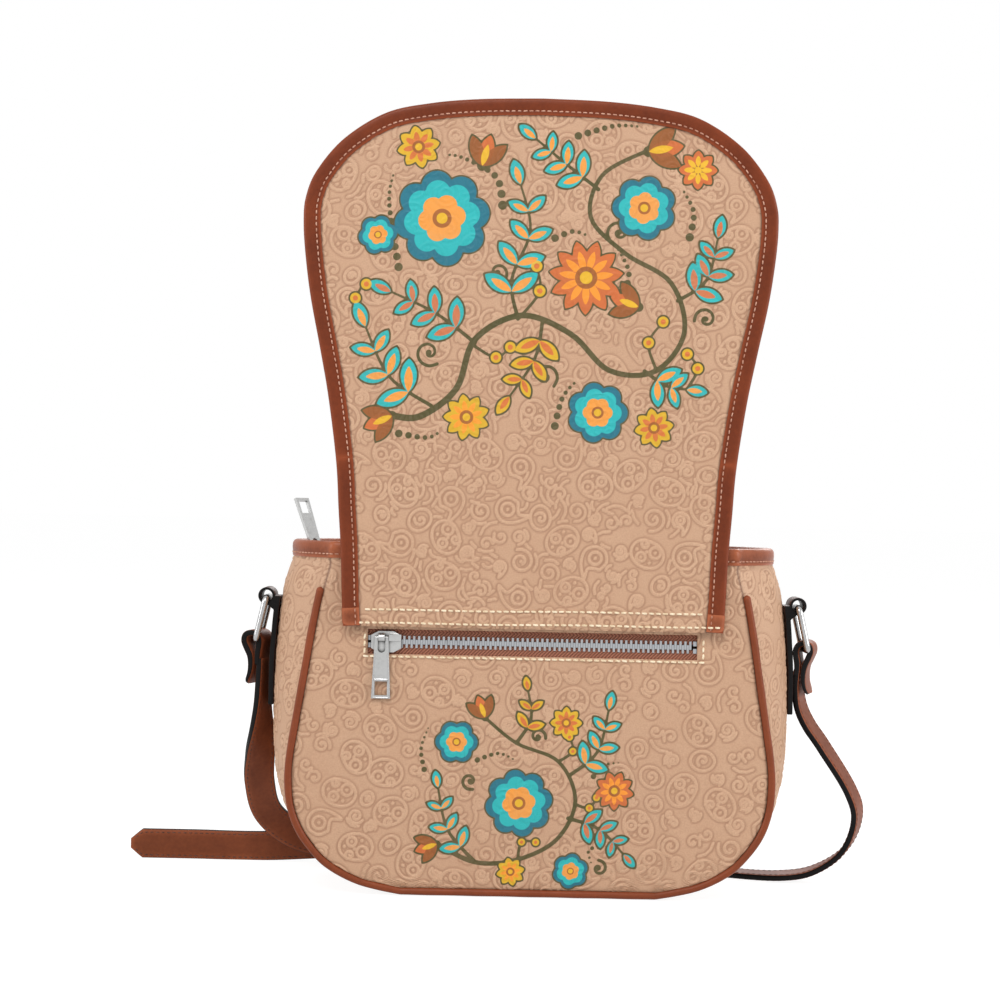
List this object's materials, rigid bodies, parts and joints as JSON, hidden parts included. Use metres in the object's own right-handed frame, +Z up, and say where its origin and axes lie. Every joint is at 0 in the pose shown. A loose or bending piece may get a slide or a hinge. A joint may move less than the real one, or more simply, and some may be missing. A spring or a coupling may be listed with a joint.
{
  "type": "saddle handbag",
  "caption": "Saddle-shaped leather shoulder bag with a long fold-over flap, zipped mouth, zipped back pocket, rounded gusset and a buckled strap on side rings.",
  "frame": {"origin": "centre of the bag's flat underside, on the surface that it stands on", "axes": "+Z up; +X to the right of somebody who looks at the back panel with its zip pocket; -Y out of the back panel, +Y out of the front panel that the flap closes over"},
  "size_m": [0.4414, 0.1242, 0.453],
  "materials": {
    "embossed_leather": "embossed, satin",
    "binding_leather": "glossy",
    "strap_leather": "satin",
    "lining_cloth": "plain weave",
    "zip_tape": "herringbone",
    "zip_metal": "brushed nickel",
    "nickel": "polished nickel",
    "stiff_board": "matt"
  },
  "bodies": {
    "root": {"back_panel": "embossed_leather", "front_panel": "embossed_leather", "gusset": "embossed_leather", "top_strip_back": "embossed_leather", "top_strip_front": "embossed_leather", "flap_base": "embossed_leather", "back_welt": "binding_leather", "front_welt": "binding_leather", "top_binding": "binding_leather", "flap_binding_base": "binding_leather", "tab_left": "strap_leather", "tab_right": "strap_leather", "strap_end_left": "strap_leather", "strap_end_right": "strap_leather", "lining_back": "lining_cloth", "lining_front": "lining_cloth", "lining_gusset": "lining_cloth", "pocket_pouch": "lining_cloth", "flap_lining_base": "lining_cloth", "top_zip_tape": "zip_tape", "pocket_zip_tape": "zip_tape", "top_zip_teeth": "zip_metal", "top_zip_stops": "zip_metal", "pocket_zip_teeth": "zip_metal", "pocket_zip_stops": "zip_metal", "snap_socket": "nickel", "snap_washer": "nickel", "base_board": "stiff_board"},
    "flap_top": {"flap_top": "embossed_leather", "flap_lining_top": "lining_cloth", "flap_binding_top": "binding_leather"},
    "flap_front": {"flap_front": "embossed_leather", "flap_lining_front": "lining_cloth", "flap_binding_front": "binding_leather", "snap_stud": "nickel"},
    "top_slider": {"top_slider": "zip_metal"},
    "top_puller": {"top_puller": "zip_metal"},
    "pocket_slider": {"pocket_slider": "zip_metal"},
    "pocket_puller": {"pocket_puller": "zip_metal"},
    "ring_left": {"ring_left": "nickel"},
    "ring_right": {"ring_right": "nickel"},
    "strap": {"short_strap": "strap_leather", "long_strap": "strap_leather", "buckle_frame": "nickel", "buckle_prong": "nickel", "fixed_keeper": "strap_leather"},
    "sliding_keeper": {"sliding_keeper": "strap_leather"}
  },
  "joints": [
    {"name": "flap_fold_back", "type": "hinge", "parent": "root", "child": "flap_top", "pos_m": [0, -0.0445, 0.2016], "axis": [-1, 0, 0], "range_deg": [0, 90]},
    {"name": "flap_fold_front", "type": "hinge", "parent": "flap_top", "child": "flap_front", "pos_m": [0, -0.0445, 0.2929], "axis": [-1, 0, 0], "range_deg": [0, 90]},
    {"name": "top_zip_slide", "type": "slide", "parent": "root", "child": "top_slider", "axis": [1, 0, 0], "range_m": [0, 0.248]},
    {"name": "top_puller_swing", "type": "hinge", "parent": "top_slider", "child": "top_puller", "pos_m": [-0.12654, 0, 0.1929], "axis": [0.6428, 0.766, 0], "range_deg": [-15, 70]},
    {"name": "pocket_zip_slide", "type": "slide", "parent": "root", "child": "pocket_slider", "axis": [1, 0, 0], "range_m": [0, 0.166]},
    {"name": "pocket_puller_lift", "type": "hinge", "parent": "pocket_slider", "child": "pocket_puller", "pos_m": [-0.0855, -0.0443, 0.1464], "axis": [-1, 0, 0], "range_deg": [0, 140]},
    {"name": "ring_left_swing", "type": "hinge", "parent": "root", "child": "ring_left", "pos_m": [-0.155, 0, 0.166], "axis": [0, 1, 0], "range_deg": [-4.5, 4.5]},
    {"name": "ring_right_swing", "type": "hinge", "parent": "root", "child": "ring_right", "pos_m": [0.155, 0, 0.166], "axis": [0, 1, 0], "range_deg": [-4.5, 4.5]},
    {"name": "strap_swing", "type": "hinge", "parent": "root", "child": "strap", "pos_m": [0, 0, 0.12], "axis": [1, 0, 0], "range_deg": [0, 90]},
    {"name": "keeper_slide", "type": "slide", "parent": "strap", "child": "sliding_keeper", "axis": [1, 0, 0], "range_m": [-0.01, 0.008]}
  ]
}
